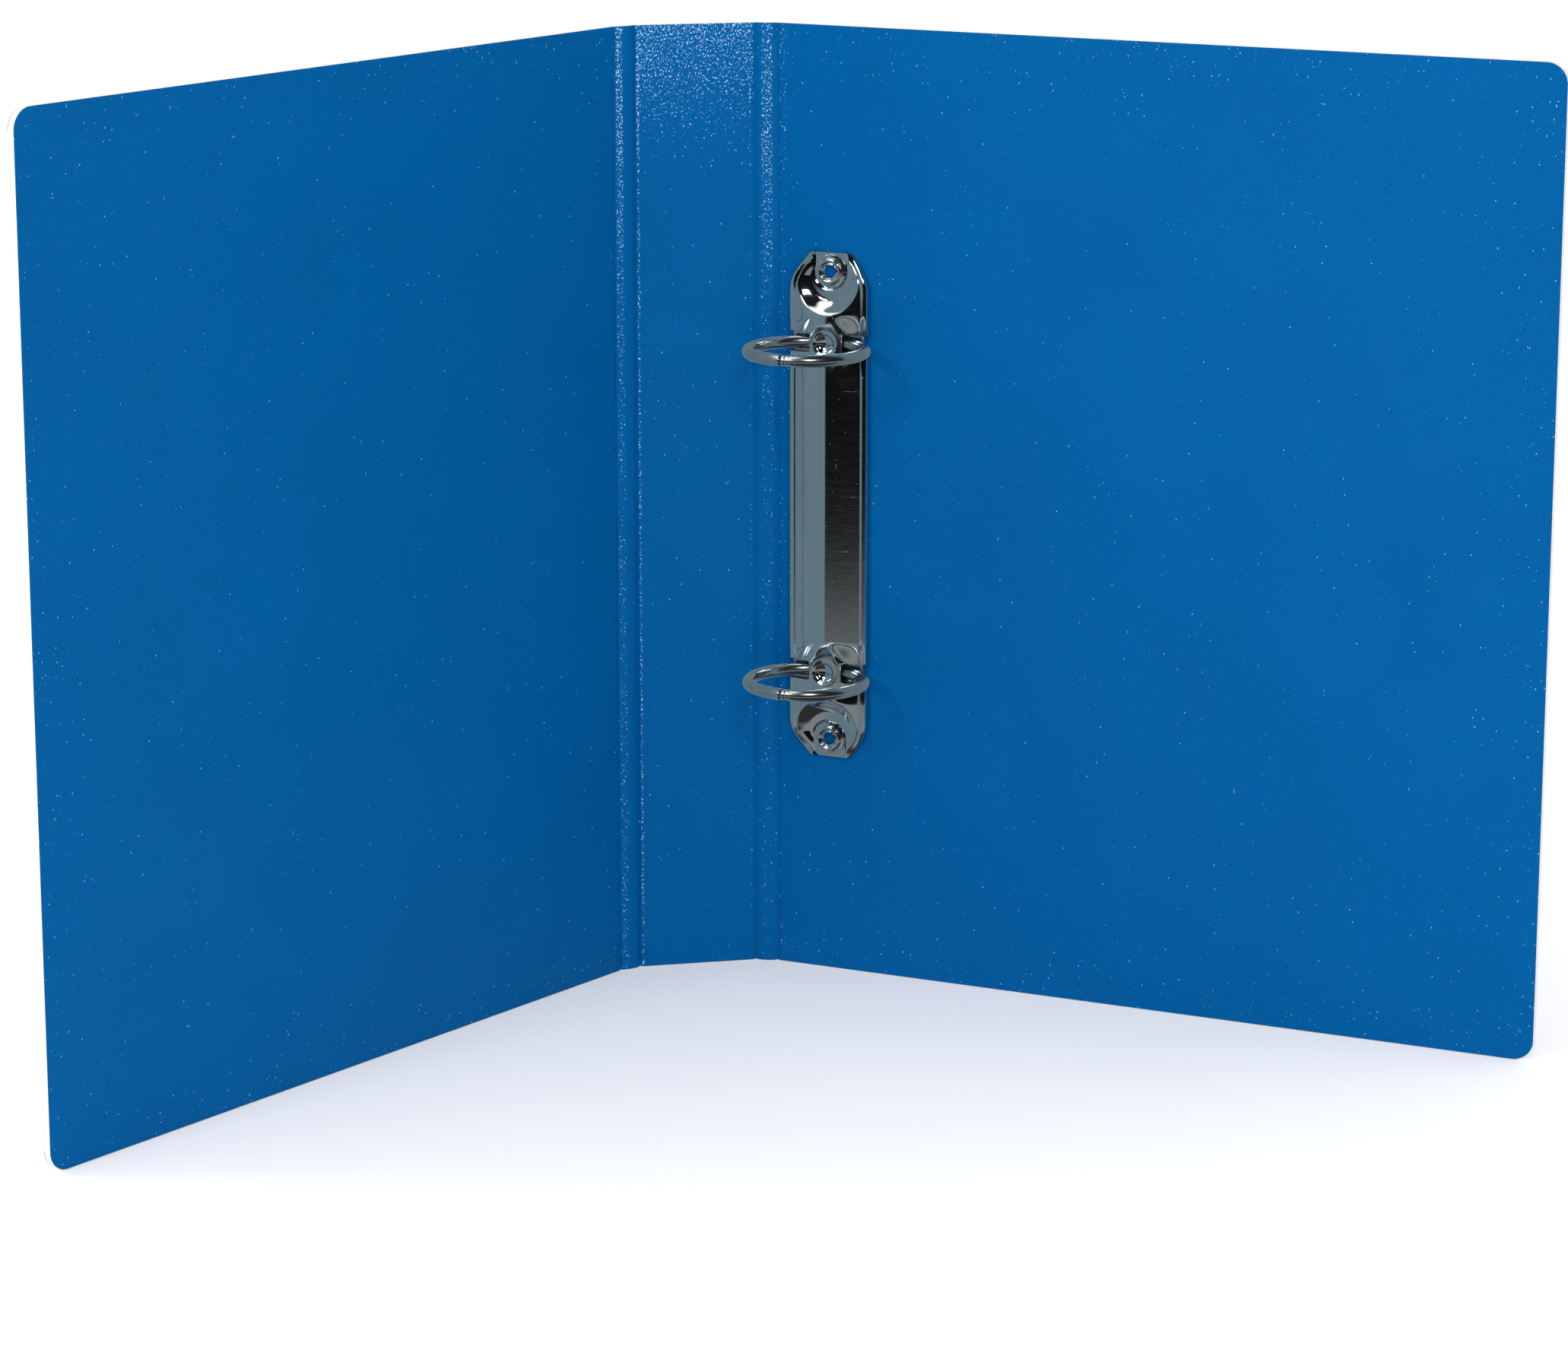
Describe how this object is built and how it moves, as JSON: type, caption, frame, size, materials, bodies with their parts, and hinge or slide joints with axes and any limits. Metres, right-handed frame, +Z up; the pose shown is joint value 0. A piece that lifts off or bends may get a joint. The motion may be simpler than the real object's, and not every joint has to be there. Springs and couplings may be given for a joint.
{
  "type": "ring binder",
  "caption": "A5 ring binder of blue-laminated board, with creased hinge strips, a plain spine label and a riveted round-ring mechanism on the back cover.",
  "frame": {"origin": "middle of the spine board's bottom edge, on the surface that the open binder stands on", "axes": "+Z up along the spine, +X along the spine's width from the front cover side to the back cover side, -Y towards the inside of the open binder"},
  "size_m": [0.3416, 0.1259, 0.23],
  "materials": {
    "board_core": "raw cut white greyboard",
    "outer_film": "blue film embossed with a fine leather grain, semi-gloss",
    "inner_film": "smooth blue film with a fine pearl speckle",
    "label": "plain white self-adhesive label, matt",
    "nickel": "bright nickel plating on steel",
    "blade_steel": "zinc-plated sheet steel",
    "rivet_metal": "tubular steel rivet, bright where it is rolled over, blue lacquered head"
  },
  "bodies": {
    "spine": {"spine_board": "board_core", "spine_outer_film": "outer_film", "spine_inner_film": "inner_film", "spine_label": "label"},
    "front_strip": {"front_strip_board": "board_core", "front_strip_outer_film": "outer_film", "front_strip_inner_film": "inner_film"},
    "front_cover": {"front_cover_board": "board_core", "front_cover_outer_film": "outer_film", "front_cover_inner_film": "inner_film"},
    "back_strip": {"back_strip_board": "board_core", "back_strip_outer_film": "outer_film", "back_strip_inner_film": "inner_film"},
    "back_cover": {"back_cover_board": "board_core", "back_cover_outer_film": "outer_film", "back_cover_inner_film": "inner_film", "ring_housing": "nickel", "upper_rivet": "rivet_metal", "lower_rivet": "rivet_metal"},
    "spine_side_rings": {"spine_side_blade": "blade_steel", "upper_ring_spine_side_half": "nickel", "lower_ring_spine_side_half": "nickel"},
    "fore_side_rings": {"fore_side_blade": "blade_steel", "upper_ring_fore_side_half": "nickel", "lower_ring_fore_side_half": "nickel"}
  },
  "joints": [
    {"name": "front_cover_fold", "type": "hinge", "parent": "front_strip", "child": "front_cover", "pos_m": [-0.02006, -0.00196, 0.115], "axis": [0, 0, 1], "range_deg": [-19.75, 25.25]},
    {"name": "front_strip_fold", "type": "hinge", "parent": "spine", "child": "front_strip", "pos_m": [-0.0146, 0, 0.115], "axis": [0, 0, 1], "range_deg": [-19.75, 25.25]},
    {"name": "back_cover_fold", "type": "hinge", "parent": "back_strip", "child": "back_cover", "pos_m": [0.02009, -0.00186, 0.115], "axis": [0, 0, -1], "range_deg": [-18.75, 26.25]},
    {"name": "back_strip_fold", "type": "hinge", "parent": "spine", "child": "back_strip", "pos_m": [0.0146, 0, 0.115], "axis": [0, 0, -1], "range_deg": [-18.75, 26.25]},
    {"name": "rings_open", "type": "hinge", "parent": "back_cover", "child": "fore_side_rings", "pos_m": [0.03708, -0.01783, 0.115], "axis": [0, 0, 1], "range_deg": [0, 7.5]},
    {"name": "spine_side_rings_open", "type": "hinge", "parent": "back_cover", "child": "spine_side_rings", "pos_m": [0.02296, -0.007, 0.115], "axis": [0, 0, 1], "range_deg": [-7.5, 0]}
  ],
  "couplings": [
    {"joint": "front_strip_fold", "follows": "front_cover_fold", "ratio": 1},
    {"joint": "back_strip_fold", "follows": "back_cover_fold", "ratio": 1},
    {"joint": "spine_side_rings_open", "follows": "rings_open", "ratio": -1}
  ]
}
